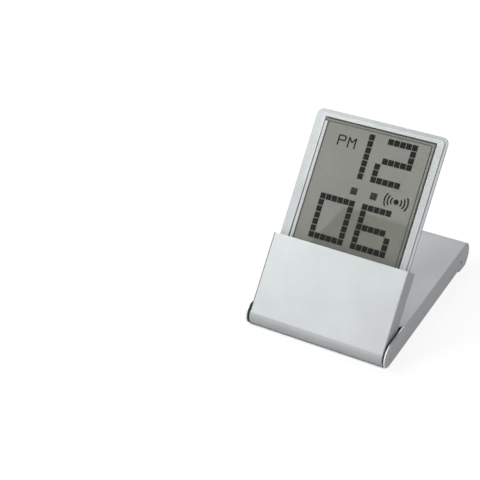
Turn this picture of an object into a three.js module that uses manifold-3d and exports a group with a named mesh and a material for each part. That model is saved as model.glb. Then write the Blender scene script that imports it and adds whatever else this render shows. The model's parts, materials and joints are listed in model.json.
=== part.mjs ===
// Folding alarm clock: a slim clock case hinged at its foot barrel to a U-shaped cover.
// Open, the cover is the stand and the case leans back on its front edge.
// Folded, the case swings round the front and under the cover, display upwards.
// Millimetres. X to the right, Y to the rear, Z up. Origin: bottom centre of the open clock.
import * as THREE from 'three';
import { mergeVertices } from 'three/addons/utils/BufferGeometryUtils.js';
import Module from 'manifold-3d';

const wasm = await Module();
wasm.setup();

// Clearances
const SEAT_GAP = 0.3; // between pieces that seat on each other
const RUN_GAP = 0.1; // round a pin in its hole
const SIDE_GAP = 0.5; // between the case and the side walls of the stand
const LEAN_GAP = 0.1; // between the case's back and the cover's front edge, open
const SWING_GAP = 0.45; // between the display's top and the lip of the rear roll, folded
const DISPLAY_FIT = 0.37; // between the display and the sides of the case

// Stand: cover plate, side walls and rolled rear end
const STAND_WIDTH = 65;
const WALL_T = 1;
const COVER_T = 0.6;
const END_RADIUS = 5.4; // round front end of a side wall, half its height
const COVER_EDGE_Y = 10.3; // hinge axis to the cover's front edge
const COVER_CORNER = 9.5; // rounded front corners of the cover
const ROLL_Y = 91.2; // hinge axis to the centre of the rear roll
const ROLL_RADIUS = 7;
const ROLL_T = 1.2;
const ROLL_LIP = 2.6; // lip of the roll, behind the roll's centre
const FOOT_DROP = 2.1; // the roll's foot below the walls' lower edges
const FRONT_FLAT = 0.12; // flat under the round front ends

// Hinge and wall hardware
const PIN_RADIUS = 1.2;
const PIN_LENGTH = 5.5;
const BUSH_LENGTH = 6;
const WASHER_T = 0.3;
const WASHER_INSET = 0.15; // washer smaller than the barrel
const DETENT_PIN_RADIUS = 0.9;
const DETENT_PIN_FORE = 4; // detent pin before the centre of the rear roll
const DETENT_PIN_Z = -2;
const RIVET_RADIUS = 0.55;
const RIVET_FORE = 9.7; // stop rivet before the centre of the rear roll
const RIVET_Z = -3;
const STUD_HEAD_T = 0.6; // heads inside the side walls
const STUD_HEAD_STEP = 0.6; // head radius beyond the shank

// Clock case
const BARREL_INSET = 0.35; // barrel smaller than the wall's round end
const BARREL_T = 1.15;
const FACE_INSET = 0.1; // flat of the front face on the barrel's round
const BACK_STEP = 0.15; // back face beyond the barrel
const PANEL_T = 1.2;
const SIDE_T = 0.7;
const CASE_TOP = 35.3; // hinge axis to the top edge of the case

// Display module
const DISPLAY_FRONT = 1; // display front before the hinge axis
const DISPLAY_T = 4.5;
const DISPLAY_CORNER = 3;
const FRAME_SIDE = 4.7; // clear border beside the liquid crystal
const FRAME_TOP = 3.4;
const FRAME_BAND = 0.5; // straight band of the frame's sides, at the front
const FRAME_TAPER = 2.4; // how far the sides slant in from there to the back
const LENS_RECESS = 0.4;
const LENS_T = 0.6;
const GLASS_T = 0.7;
const REFLECTOR_T = 0.2;
const GASKET_HEIGHT = 3;
const GASKET_DROP = 0.5; // gasket below the case's top edge

// Battery bay on the left half of the case
const CELL_RADIUS = 8;
const CELL_T = 2;
const DOOR_RADIUS = 9;
const DOOR_RECESS = 0.1; // door and screw heads below the back face
const DOOR_X = -14.5;
const LUG_RADIUS = 10.2;
const LUG_T = 0.4;
const LUG_HALF = 0.2; // half angle of a bayonet lug, radians
const NOTCH_HALF = 0.26; // half angle of a notch for it, radians
const DOOR_TURN = 0.7; // turn to the left from behind that brings the lugs to the notches, radians
const COIN_SLOT_LENGTH = 11;
const COIN_SLOT_WIDTH = 1.6;
const COIN_SLOT_DEPTH = 0.5;
const LEAF_T = 0.3; // thin metal of the contacts, and the ribbon
const LEAF_WIDTH = 6;

// Circuit board, keys and sounder on the right half
const BOARD_T = 1.2;
const BOARD_FORE = 0.1; // board's back face before the hinge axis
const BOARD_LEFT = -2.6;
const BOARD_RISE = 1.2; // board's lower edge above the barrel
const POST_RADIUS = 1.2;
const POST_INSET = 2.4;
const RIBBON_WIDTH = 20;
const RIBBON_DROP = 3.6; // display's lower edge to the board
const KEY_RADIUS = 2.2;
const KEY_PITCH = 5.8;
const KEY_PROUD = 0.5; // how far a key stands out, which is also its travel
const KEY_FLANGE = 0.55;
const KEY_FLANGE_T = 0.8;
const KEY_NAMES = ['mode_button', 'hour_button', 'minute_button', 'alarm_button'];
const PAD_MARGIN = 0.3; // rubber pad beyond the key flanges
const SOUNDER_RADIUS = 5.5;
const SOUNDER_T = 0.5;

// Case screws
const SCREW_RADIUS = 0.9;
const SCREW_LENGTH = 5;
const SCREW_HEAD_RADIUS = 1.8;
const SCREW_HEAD_T = 0.6;
const BOSS_T = 1; // wall of a screw boss round its bore

// Widths and depths worked out from the sizes above
const standHalf = STAND_WIDTH / 2;
const wallInside = standHalf - WALL_T;
const caseHalf = wallInside - SIDE_GAP;
const sideInside = caseHalf - SIDE_T;
const barrelRadius = END_RADIUS - BARREL_INSET;
const barrelBore = barrelRadius - BARREL_T;
const face = barrelRadius - FACE_INSET;
const back = barrelRadius + BACK_STEP;
const faceInside = face - PANEL_T;
const backInside = back - PANEL_T;
const sunkBack = back - DOOR_RECESS;
const behindPanel = backInside - SEAT_GAP;

// Rear roll, the studs before it and the display that it has to let pass
const detentPinY = ROLL_Y - DETENT_PIN_FORE;
const rivetY = ROLL_Y - RIVET_FORE;
const rollZ = END_RADIUS - ROLL_RADIUS;
const rollInside = ROLL_RADIUS - ROLL_T;
const lipAngle = Math.acos(ROLL_LIP / ROLL_RADIUS);
const displayTop = ROLL_Y + rollInside * Math.cos(lipAngle) - SWING_GAP;
const displayHalf = sideInside - DISPLAY_FIT;
const displayBack = DISPLAY_T - DISPLAY_FRONT;
const lcdHalf = displayHalf - FRAME_SIDE;
const lcdTop = displayTop - FRAME_TOP;

// Battery bay, then the display that starts above it
const doorZ = barrelRadius + SEAT_GAP + LUG_RADIUS;
const displayBottom = doorZ + LUG_RADIUS + SEAT_GAP;
const lugFront = behindPanel - LUG_T;
const cellBack = lugFront - SEAT_GAP;
const cellFront = cellBack - CELL_T;
const leafBack = cellFront - SEAT_GAP;

// Screws, board and keys
const bossBore = SCREW_RADIUS + SEAT_GAP;
const bossRadius = bossBore + BOSS_T;
const bossX = sideInside - SEAT_GAP - bossRadius;
const bossLow = barrelRadius + SEAT_GAP + bossRadius;
const bossHigh = displayBottom - SEAT_GAP - bossRadius;
const screwPlaces = [[-bossX, bossLow], [bossX, bossLow], [-bossX, bossHigh], [bossX, bossHigh]];
const boardRight = bossX - bossRadius - SEAT_GAP;
const boardBottom = barrelRadius + BOARD_RISE;
const boardTop = displayBottom - RIBBON_DROP;
const boardMid = (BOARD_LEFT + boardRight) / 2;
const boardBack = -BOARD_FORE;
const boardFront = boardBack - BOARD_T;
const keyZ = (boardBottom + boardTop) / 2;
const keyRow = (KEY_NAMES.length - 1) * KEY_PITCH;
const keyPlaces = KEY_NAMES.map((_, index) => boardMid - keyRow / 2 + index * KEY_PITCH);
const keyFlangeFront = behindPanel - KEY_FLANGE_T;
const padRise = KEY_RADIUS + KEY_FLANGE + PAD_MARGIN;
const padHalf = keyRow / 2 + padRise;
const leafEnd = boardMid - padHalf - SEAT_GAP;

// The stand slopes a little because its rear foot is deeper than its front ends.
const footDepth = END_RADIUS + FOOT_DROP;
const hingeHeight = END_RADIUS - FRONT_FLAT;
const tilt = Math.atan2(footDepth, ROLL_Y) - Math.asin(hingeHeight / Math.hypot(ROLL_Y, footDepth));

// The case leans until its back meets the upper corner of the cover's front edge.
const edgeReach = Math.hypot(COVER_EDGE_Y, END_RADIUS);
const lean = Math.acos((back + LEAN_GAP) / edgeReach) - Math.atan2(END_RADIUS, COVER_EDGE_Y);
const rearMost = ROLL_Y * Math.cos(tilt) - rollZ * Math.sin(tilt) + ROLL_RADIUS;
const hingeY = (END_RADIUS - rearMost) / 2;

// Finishes
function finish(color, roughness, metalness) {
  return new THREE.MeshStandardMaterial({ color, roughness, metalness });
}
const satinAluminium = finish(0xc8cacc, 0.42, 0.9);
const brightSteel = finish(0xd8d8d8, 0.25, 1);
const darkSteel = finish(0x4a4a4c, 0.4, 0.9);
const clearAcrylic = finish(0xe6ecee, 0.08, 0);
const lcdGlass = finish(0x8f928a, 0.12, 0);
const reflectorFoil = finish(0xa3a69c, 0.35, 0.2);
const blackNylon = finish(0x121214, 0.6, 0);
const greyPlastic = finish(0x6a6c70, 0.55, 0);
const greenBoard = finish(0x1f6b3a, 0.5, 0);
const paleRubber = finish(0xb9bab4, 0.8, 0);
const amberFilm = finish(0xb06a1c, 0.4, 0);
const brass = finish(0xc6a24f, 0.3, 1);

// Outlines
function arc(a, b, radius, from, to, steps) {
  return Array.from({ length: steps + 1 }, (_, index) => {
    const angle = from + ((to - from) * index) / steps;
    return new THREE.Vector2(a + radius * Math.cos(angle), b + radius * Math.sin(angle));
  });
}

function circle(a, b, radius, steps) {
  return arc(a, b, radius, 0, 2 * Math.PI, steps).slice(0, steps);
}

function corners(...pairs) {
  return pairs.map(([a, b]) => new THREE.Vector2(a, b));
}

function rectangle(a0, b0, a1, b1) {
  return corners([a0, b0], [a1, b0], [a1, b1], [a0, b1]);
}

// A round outline with two opposite lugs
function lugged(a, b, radius, lugRadius, half, turn) {
  const quarter = Math.PI / 2;
  return [quarter + turn, 3 * quarter + turn].flatMap((middle) => [
    ...arc(a, b, lugRadius, middle - half, middle + half, 4),
    ...arc(a, b, radius, middle + half, middle + Math.PI - half, 20),
  ]);
}

function plate(points, holes, depth) {
  const shape = new THREE.Shape(points);
  shape.holes.push(...holes.map((hole) => new THREE.Path(hole)));
  return new THREE.ExtrudeGeometry(shape, { depth, bevelEnabled: false });
}

// An outline in Y and Z, carried along X
function alongX(points, [x0, x1], holes = []) {
  const turn = new THREE.Matrix4().makeBasis(
    new THREE.Vector3(0, 1, 0),
    new THREE.Vector3(0, 0, 1),
    new THREE.Vector3(1, 0, 0),
  );
  return plate(points, holes, x1 - x0).applyMatrix4(turn).translate(x0, 0, 0);
}

// An outline in X and Z, carried along Y
function alongY(points, [y0, y1], holes = []) {
  return plate(points, holes, y1 - y0).rotateX(Math.PI / 2).translate(0, y1, 0);
}

// An outline in X and Y, carried along Z
function alongZ(points, [z0, z1], holes = []) {
  return plate(points, holes, z1 - z0).translate(0, 0, z0);
}

// Joining and cutting closed shapes
function solid(geometry) {
  const bare = geometry.clone();
  bare.deleteAttribute('normal');
  bare.deleteAttribute('uv');
  const merged = mergeVertices(bare, 1e-4);
  return new wasm.Manifold(new wasm.Mesh({
    numProp: 3,
    vertProperties: Float32Array.from(merged.attributes.position.array),
    triVerts: Uint32Array.from(merged.index.array),
  }));
}

function geometryOf(body) {
  const mesh = body.getMesh();
  const geometry = new THREE.BufferGeometry();
  geometry.setAttribute('position', new THREE.BufferAttribute(Float32Array.from(mesh.vertProperties), 3));
  geometry.setIndex(Array.from(mesh.triVerts));
  geometry.computeVertexNormals();
  return geometry;
}

function join(first, ...others) {
  return geometryOf(others.reduce((sum, next) => sum.add(solid(next)), solid(first)));
}

function cut(first, ...others) {
  return geometryOf(others.reduce((rest, next) => rest.subtract(solid(next)), solid(first)));
}

function common(first, second) {
  return geometryOf(solid(first).intersect(solid(second)));
}

// The two halves of the clock meet at the hinge axis.
const clock = new THREE.Group();
const stand = new THREE.Group();
stand.position.set(0, hingeY, hingeHeight);
stand.rotation.x = tilt;
const casing = new THREE.Group();
casing.position.set(0, hingeY, hingeHeight);
casing.rotation.x = tilt - lean;
clock.add(stand, casing);

function piece(parent, name, geometry, material) {
  const mesh = new THREE.Mesh(geometry, material.clone());
  mesh.name = name;
  parent.add(mesh);
}

const SIDES = [['left', -1], ['right', 1]];

// A span along X on one side, from its inner to its outer end
function spanOn(side, near, far) {
  return side > 0 ? [near, far] : [-far, -near];
}

// Side wall: round front end, straight edges, and a rear lobe that drops to the foot
function sideWall(side) {
  const kink = Math.asin((END_RADIUS + rollZ) / ROLL_RADIUS);
  const outline = [
    ...arc(ROLL_Y, rollZ, ROLL_RADIUS, Math.PI / 2, kink - Math.PI, 30),
    ...arc(0, 0, END_RADIUS, -Math.PI / 2, -1.5 * Math.PI, 28),
  ];
  const holes = [
    circle(0, 0, PIN_RADIUS + RUN_GAP, 24),
    circle(detentPinY, DETENT_PIN_Z, DETENT_PIN_RADIUS + RUN_GAP, 16),
    circle(rivetY, RIVET_Z, RIVET_RADIUS + RUN_GAP, 12),
  ];
  return alongX(outline, spanOn(side, wallInside, standHalf), holes);
}

// Cover plate with rounded front corners that rolls down at the rear into a lip
function coverPlate() {
  const profile = [
    ...arc(ROLL_Y, rollZ, ROLL_RADIUS, Math.PI / 2, -lipAngle, 24),
    ...arc(ROLL_Y, rollZ, rollInside, -lipAngle, Math.PI / 2, 24),
    ...corners(
      [ROLL_Y, END_RADIUS - COVER_T],
      [COVER_EDGE_Y, END_RADIUS - COVER_T],
      [COVER_EDGE_Y, END_RADIUS],
    ),
  ];
  const cornerX = standHalf - COVER_CORNER;
  const cornerY = COVER_EDGE_Y + COVER_CORNER;
  const rear = ROLL_Y + 2 * ROLL_RADIUS;
  const plan = [
    ...arc(-cornerX, cornerY, COVER_CORNER, Math.PI, 1.5 * Math.PI, 14),
    ...arc(cornerX, cornerY, COVER_CORNER, 1.5 * Math.PI, 2 * Math.PI, 14),
    ...corners([standHalf, rear], [-standHalf, rear]),
  ];
  const height = 2 * ROLL_RADIUS;
  return common(alongX(profile, [-standHalf, standHalf]), alongZ(plan, [-height, height]));
}

function standChannel() {
  const depth = 2 * ROLL_RADIUS;
  const ground = new THREE.BoxGeometry(2 * STAND_WIDTH, 4 * ROLL_Y, depth);
  ground.translate(0, 0, -hingeHeight - depth / 2);
  ground.rotateX(-tilt);
  return cut(join(coverPlate(), sideWall(-1), sideWall(1)), ground);
}

piece(stand, 'stand_channel', standChannel(), satinAluminium);

// Pins, washers and studs in the side walls
function wallStud(side, y, z, radius) {
  const seat = wallInside - RUN_GAP;
  const head = alongX(circle(y, z, radius + STUD_HEAD_STEP, 16), spanOn(side, seat - STUD_HEAD_T, seat));
  const shank = alongX(circle(y, z, radius, 16), spanOn(side, seat - STUD_HEAD_T / 2, standHalf));
  return join(head, shank);
}

for (const [label, side] of SIDES) {
  const pin = alongX(circle(0, 0, PIN_RADIUS, 24), spanOn(side, standHalf - PIN_LENGTH, standHalf));
  piece(stand, `${label}_hinge_pin`, pin, brightSteel);
  const washerNear = caseHalf + (SIDE_GAP - WASHER_T) / 2;
  const washer = alongX(
    circle(0, 0, barrelRadius - WASHER_INSET, 32),
    spanOn(side, washerNear, washerNear + WASHER_T),
    [circle(0, 0, PIN_RADIUS + RUN_GAP, 24)],
  );
  piece(stand, `${label}_hinge_washer`, washer, blackNylon);
  const detentPin = wallStud(side, detentPinY, DETENT_PIN_Z, DETENT_PIN_RADIUS);
  piece(stand, `${label}_detent_pin`, detentPin, darkSteel);
  piece(stand, `${label}_stop_rivet`, wallStud(side, rivetY, RIVET_Z, RIVET_RADIUS), brightSteel);
}

// Side of the case, from the front panel to the back face and down into the barrel's wall
function caseSide(side) {
  const front = -faceInside - SEAT_GAP;
  const root = barrelRadius - BARREL_T / 2;
  const outline = [
    ...arc(0, 0, root, Math.PI - Math.acos(-front / root), 0, 16),
    ...corners([back, 0], [back, CASE_TOP], [front, CASE_TOP]),
  ];
  return alongX(outline, spanOn(side, sideInside, caseHalf));
}

// Front shell: panel with the foot barrel, two sides, screw bosses and board posts
function frontShell() {
  const crease = Math.PI + Math.acos(face / barrelRadius);
  const shoulder = Math.PI - Math.acos(faceInside / barrelRadius);
  const outline = [
    ...arc(0, 0, barrelRadius, crease, shoulder + 2 * Math.PI, 48),
    ...corners([-faceInside, CASE_TOP], [-face, CASE_TOP]),
  ];
  const panel = alongX(outline, [-caseHalf, caseHalf], [circle(0, 0, barrelBore, 40)]);
  const root = -faceInside - SEAT_GAP;
  const bosses = screwPlaces.map(([x, z]) => (
    alongY(circle(x, z, bossRadius, 20), [root, behindPanel], [circle(x, z, bossBore, 16)])
  ));
  const postPlaces = [BOARD_LEFT + POST_INSET, boardRight - POST_INSET].flatMap((x) => (
    [[x, boardBottom + POST_INSET], [x, boardTop - POST_INSET]]
  ));
  const posts = postPlaces.map(([x, z]) => (
    alongY(circle(x, z, POST_RADIUS, 12), [root, boardFront - SEAT_GAP])
  ));
  return join(panel, caseSide(-1), caseSide(1), ...bosses, ...posts);
}

piece(casing, 'front_shell', frontShell(), satinAluminium);

// Back panel between the sides, with the battery opening, key holes and sunk screw holes
function backShell() {
  const half = sideInside - SEAT_GAP;
  const headSeat = sunkBack - SCREW_HEAD_T - SEAT_GAP;
  const holes = [
    lugged(DOOR_X, doorZ, DOOR_RADIUS + SEAT_GAP, LUG_RADIUS + SEAT_GAP, NOTCH_HALF, -DOOR_TURN),
    ...keyPlaces.map((x) => circle(x, keyZ, KEY_RADIUS + SEAT_GAP, 24)),
    ...screwPlaces.map(([x, z]) => circle(x, z, bossBore, 16)),
  ];
  const panel = alongY(rectangle(-half, barrelBore, half, CASE_TOP), [backInside, back], holes);
  const sinks = screwPlaces.map(([x, z]) => (
    alongY(circle(x, z, SCREW_HEAD_RADIUS + SEAT_GAP, 20), [headSeat, back + PANEL_T])
  ));
  return cut(panel, ...sinks);
}

piece(casing, 'back_shell', backShell(), satinAluminium);

// Bushes in the ends of the barrel, for the hinge pins
for (const [label, side] of SIDES) {
  const bush = alongX(
    circle(0, 0, barrelBore - SEAT_GAP, 24),
    spanOn(side, caseHalf - BUSH_LENGTH, caseHalf),
    [circle(0, 0, PIN_RADIUS + RUN_GAP, 24)],
  );
  piece(casing, `${label}_hinge_bush`, bush, brass);
}

// What the display's slanted side leaves out, behind the straight band at its front
function taper(side) {
  const start = FRAME_BAND - DISPLAY_FRONT;
  const slope = FRAME_TAPER / (displayBack - start);
  const beyond = displayBack + FRAME_BAND;
  const points = corners(
    [side * displayHalf, start],
    [side * (displayHalf + FRAME_TAPER), start],
    [side * (displayHalf + FRAME_TAPER), beyond],
    [side * (displayHalf - slope * (beyond - start)), beyond],
  );
  return side > 0 ? points : points.reverse();
}

// Display: clear frame open at its foot, with the layers of the liquid crystal inside it
function displayFrame() {
  const inside = lcdHalf + SEAT_GAP;
  const roof = lcdTop + SEAT_GAP;
  const cornerX = displayHalf - DISPLAY_CORNER;
  const cornerZ = displayTop - DISPLAY_CORNER;
  const outline = [
    ...arc(cornerX, cornerZ, DISPLAY_CORNER, 0, Math.PI / 2, 10),
    ...arc(-cornerX, cornerZ, DISPLAY_CORNER, Math.PI / 2, Math.PI, 10),
    ...corners(
      [-displayHalf, displayBottom],
      [-inside, displayBottom],
      [-inside, roof],
      [inside, roof],
      [inside, displayBottom],
      [displayHalf, displayBottom],
    ),
  ];
  const block = alongY(outline, [-DISPLAY_FRONT, displayBack]);
  const tapers = SIDES.map(([, side]) => (
    alongZ(taper(side), [displayBottom - FRAME_TAPER, displayTop + FRAME_TAPER])
  ));
  return cut(block, ...tapers);
}

piece(casing, 'display_frame', displayFrame(), clearAcrylic);

const sheet = rectangle(-lcdHalf, displayBottom, lcdHalf, lcdTop);
const layers = [
  ['display_lens', LENS_T, clearAcrylic],
  ['lcd_front_glass', GLASS_T, lcdGlass],
  ['lcd_rear_glass', GLASS_T, lcdGlass],
  ['lcd_reflector', REFLECTOR_T, reflectorFoil],
];
let layerFront = LENS_RECESS - DISPLAY_FRONT;
for (const [name, thickness, material] of layers) {
  piece(casing, name, alongY(sheet, [layerFront, layerFront + thickness]), material);
  layerFront += thickness + SEAT_GAP;
}
piece(casing, 'display_back_plate', alongY(sheet, [layerFront, displayBack]), satinAluminium);

const gasketTop = CASE_TOP - GASKET_DROP;
const gasketHalf = sideInside - SEAT_GAP;
const gasket = rectangle(-gasketHalf, gasketTop - GASKET_HEIGHT, gasketHalf, gasketTop);
const gasketDepth = [SEAT_GAP - faceInside, -DISPLAY_FRONT - SEAT_GAP];
piece(casing, 'display_gasket', alongY(gasket, gasketDepth), blackNylon);

// Circuit board, its ribbon to the display, the rubber key pad and the sounder
const board = rectangle(BOARD_LEFT, boardBottom, boardRight, boardTop);
piece(casing, 'circuit_board', alongY(board, [boardFront, boardBack]), greenBoard);

const ribbonLeft = boardMid - RIBBON_WIDTH / 2;
const ribbonFoot = boardTop + SEAT_GAP;
const ribbonHead = displayBottom - SEAT_GAP;
const ribbon = rectangle(ribbonLeft, ribbonFoot, ribbonLeft + RIBBON_WIDTH, ribbonHead);
piece(casing, 'lcd_ribbon', alongY(ribbon, [boardBack - LEAF_T, boardBack]), amberFilm);

const pad = rectangle(boardMid - padHalf, keyZ - padRise, boardMid + padHalf, keyZ + padRise);
const padBack = keyFlangeFront - KEY_PROUD - SEAT_GAP;
piece(casing, 'key_pad', alongY(pad, [boardBack + SEAT_GAP, padBack]), paleRubber);

const sounderFront = SEAT_GAP - faceInside;
const sounder = alongY(circle(boardMid, keyZ, SOUNDER_RADIUS, 32), [sounderFront, sounderFront + SOUNDER_T]);
piece(casing, 'alarm_sounder', sounder, brass);

// Keys: round caps with a flange that keeps them behind the back panel
KEY_NAMES.forEach((name, index) => {
  const x = keyPlaces[index];
  const flange = alongY(circle(x, keyZ, KEY_RADIUS + KEY_FLANGE, 24), [keyFlangeFront, behindPanel]);
  const cap = alongY(circle(x, keyZ, KEY_RADIUS, 24), [keyFlangeFront + KEY_FLANGE_T / 2, back + KEY_PROUD]);
  piece(casing, name, join(flange, cap), greyPlastic);
});

// Coin cell, its two contacts and the bayonet door
const cell = alongY(circle(DOOR_X, doorZ, CELL_RADIUS, 40), [cellFront, cellBack]);
piece(casing, 'coin_cell', cell, brightSteel);

const leafLow = doorZ - LEAF_WIDTH / 2;
const leafHigh = doorZ + LEAF_WIDTH / 2;
const leaf = rectangle(DOOR_X - LEAF_WIDTH / 2, leafLow, leafEnd, leafHigh);
piece(casing, 'battery_leaf_contact', alongY(leaf, [leafBack - LEAF_T, leafBack]), brass);

const rimNear = DOOR_X + CELL_RADIUS + SEAT_GAP;
const rimFoot = leafBack + SEAT_GAP;
const rim = corners(
  [rimNear, rimFoot],
  [leafEnd, rimFoot],
  [leafEnd, rimFoot + LEAF_T],
  [rimNear + LEAF_T, rimFoot + LEAF_T],
  [rimNear + LEAF_T, cellBack],
  [rimNear, cellBack],
);
piece(casing, 'battery_rim_contact', alongZ(rim, [leafLow, leafHigh]), brass);

function batteryDoor() {
  const lugs = alongY(lugged(DOOR_X, doorZ, DOOR_RADIUS, LUG_RADIUS, LUG_HALF, 0), [lugFront, behindPanel]);
  const round = alongY(circle(DOOR_X, doorZ, DOOR_RADIUS, 48), [lugFront + LUG_T / 2, sunkBack]);
  const slot = rectangle(
    DOOR_X - COIN_SLOT_LENGTH / 2,
    doorZ - COIN_SLOT_WIDTH / 2,
    DOOR_X + COIN_SLOT_LENGTH / 2,
    doorZ + COIN_SLOT_WIDTH / 2,
  );
  return cut(join(lugs, round), alongY(slot, [sunkBack - COIN_SLOT_DEPTH, back]));
}

piece(casing, 'battery_door', batteryDoor(), greyPlastic);

// Case screws, from the back panel into the bosses
screwPlaces.forEach(([x, z], index) => {
  const head = alongY(circle(x, z, SCREW_HEAD_RADIUS, 20), [sunkBack - SCREW_HEAD_T, sunkBack]);
  const shankDepth = [sunkBack - SCREW_LENGTH, sunkBack - SCREW_HEAD_T / 2];
  const shank = alongY(circle(x, z, SCREW_RADIUS, 12), shankDepth);
  piece(casing, `case_screw_${index + 1}`, join(head, shank), brightSteel);
});

export default clock;
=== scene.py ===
"""Looks of the folding alarm clock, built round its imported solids."""
import json
import math

import bpy
from mathutils import Matrix, Vector


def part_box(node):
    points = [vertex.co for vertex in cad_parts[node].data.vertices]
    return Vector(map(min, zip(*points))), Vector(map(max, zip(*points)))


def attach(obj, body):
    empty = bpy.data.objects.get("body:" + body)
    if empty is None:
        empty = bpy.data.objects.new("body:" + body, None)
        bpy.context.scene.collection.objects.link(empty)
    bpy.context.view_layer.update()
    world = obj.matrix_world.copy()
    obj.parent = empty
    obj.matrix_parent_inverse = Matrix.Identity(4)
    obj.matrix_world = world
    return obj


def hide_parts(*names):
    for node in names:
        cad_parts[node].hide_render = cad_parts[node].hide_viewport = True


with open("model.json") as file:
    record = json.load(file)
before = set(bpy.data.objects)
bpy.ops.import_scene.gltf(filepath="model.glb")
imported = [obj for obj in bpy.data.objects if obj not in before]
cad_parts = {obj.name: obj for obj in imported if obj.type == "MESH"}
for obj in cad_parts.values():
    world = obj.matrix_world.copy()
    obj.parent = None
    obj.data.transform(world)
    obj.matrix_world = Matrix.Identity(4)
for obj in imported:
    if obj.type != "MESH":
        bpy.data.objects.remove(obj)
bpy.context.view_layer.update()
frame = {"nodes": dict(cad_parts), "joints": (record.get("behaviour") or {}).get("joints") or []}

# Sizes in millimetres. Both halves are measured from the hinge axis: x to the right,
# y to the rear and z up, the stand along its cover and the case along its face.
STAND_HALF = 32.5
WALL_INSIDE = 31.5
END_RADIUS = 5.4
COVER_T = 0.6
COVER_EDGE = 10.3
COVER_CORNER = 9.5
RIM_END = 15.3
RIM_DROP = 0.05
ROLL_Y = 91.2
ROLL_Z = -1.6
ROLL_RADIUS = 7.0
ROLL_T = 1.2
LIP_Y = 93.55

PIN_RADIUS = 1.2
PIN_START = 27.0
DETENT_RADIUS = 0.9
DETENT = (87.2, -2.0)
RIVET_RADIUS = 0.55
RIVET = (81.5, -3.0)
STUD_START = 31.0
HEAD_START = 30.8
HEAD_END = 31.4
HEAD_RIM = 0.6
SLOT_HALF = 0.22
SLOT_DEPTH = 0.5
RUN_GAP = 0.1

CASE_HALF = 31.0
SIDE_T = 0.7
BARREL = 5.05
BORE = 3.9
FACE = -4.95
BACK = 5.2
PANEL_T = 1.2
PANEL_GAP = 0.05
CASE_FOOT = 4.7
CASE_TOP = 35.3

FRAME_HALF = 29.93
FRAME_FRONT = -1.0
FRAME_BACK = 3.5
FRAME_FOOT = 26.05
FRAME_TOP = 92.904
FRAME_CORNER = 3.0
FRAME_BAND = 0.8
FRAME_TAPER = 2.4
FRAME_RIM = 1.4
RIM_STEP = 0.4
WINDOW_HALF = 25.53
WINDOW_TOP = 89.804

LENS_T = 0.3
LCD_HALF = 25.23
LCD_TOP = 89.504
LCD_FRONT = 0.3
LCD_T = 0.7
INK_FRONT = LCD_FRONT - 0.12
INK_BACK = LCD_FRONT - 0.02
GUIDE_LOW = (-25.5, -0.5, FRAME_FOOT)
GUIDE_HIGH = (-24.1, -0.31, LCD_TOP - 1.6)

# Outlines on the display, each as left, foot, right and top
SEAL_OUTER = (-24.84, FRAME_FOOT, LCD_HALF - 0.25, LCD_TOP + 0.29)
SEAL_INNER = (-30, FRAME_FOOT - 1, LCD_HALF - 0.7, LCD_TOP - 0.2)
SEAL_FRONT = 0.05
FILM_OUTER = (-24.16, 28, 23.5, 88.5)
FILM_INNER = (-23.97, 28.3, 23.15, 88.15)
FILM_FRONT = 0.1
FILM_CORNER = 0.6

DOOR = (-14.5, 15.55)
DOOR_RADIUS = 9.0
DOOR_GAP = 0.3
DOOR_FRONT = 3.5
LUG_RADIUS = 10.2
LUG_HALF = 2.0
LUG_HALF_T = 0.2
NOTCH_HALF = 2.8
NOTCH_REACH = 10.5
NOTCH_TURN = 0.7
COIN_SLOT_HALF_LENGTH = 5.5
COIN_SLOT_HALF_WIDTH = 0.8
COIN_SLOT_DEPTH = 0.5
KEYS = {"mode_button": 2.65, "hour_button": 8.45, "minute_button": 14.25, "alarm_button": 20.05}
KEY_Z = 14.35
KEY_RADIUS = 2.2
KEY_GAP = 0.3
KEY_FRONT = 3.3
KEY_PROUD = 0.5
KEY_RIM = 0.5
KEY_DISH = 0.12
FLANGE_RIM = 0.55
FLANGE_HALF_T = 0.4
SCREWS = [(-27.8, 7.55), (27.8, 7.55), (-27.8, 23.55), (27.8, 23.55)]
SCREW_RADIUS = 1.8
SCREW_T = 0.6
SHANK_RADIUS = 0.9
SHANK_FRONT = 0.1
SINK_RADIUS = 2.1
SINK_DEPTH = 1.0
CROSS_HALF_LENGTH = 1.2
CROSS_HALF_WIDTH = 0.18
CROSS_DEPTH = 0.35
FLUSH = BACK - 0.1

# Widths of rounded and cut edges
RIM_CUT_INSIDE = 0.3
RIM_CUT_OUTSIDE = 0.25
COVER_ROUND = 0.45
LIP_ROUND = 0.12
PIN_ROUND = 0.2
RIVET_ROUND = 0.12
CASE_ROUND = 0.6
CASE_TOP_ROUND = 0.2
PANEL_ROUND = 0.12
WINDOW_CUT = 0.57
FRAME_ROUND = 0.22
FRAME_BREAK = 0.05
GUIDE_ROUND = 0.06
KEY_ROUND = 0.3
DOOR_ROUND = 0.25
SCREW_ROUND = 0.2
INK_ROUND = 0.12
BROKEN_EDGE = 0.08

# A point within TOUCH of a face lies on it. Cutting tools reach well outside a piece.
TOUCH = 0.01
PAST = 20.0
FAR = 50.0


# Places of the two halves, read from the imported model
def middle(node):
    low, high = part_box(node)
    return (low + high) / 2


joints = {joint["name"]: joint for joint in frame["joints"]}
hinge = Vector(joints["case_fold"]["pos_m"])
press = Vector(joints["mode_press"]["axis"])
wall_line = middle("right_detent_pin") - middle("right_hinge_pin")
tilt = math.atan2(wall_line.z, wall_line.y) - math.atan2(DETENT[1], DETENT[0])
lean = math.atan2(press.z, -press.y)
MILLIMETRES = Matrix.Scale(0.001, 4)
STAND = Matrix.Translation(hinge) @ Matrix.Rotation(tilt, 4, "X") @ MILLIMETRES
CASE = Matrix.Translation(hinge) @ Matrix.Rotation(-lean, 4, "X") @ MILLIMETRES


# Bench tools
def pick(*pieces):
    bpy.ops.object.select_all(action="DESELECT")
    for piece in pieces:
        piece.select_set(True)
    bpy.context.view_layer.objects.active = pieces[-1]


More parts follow.
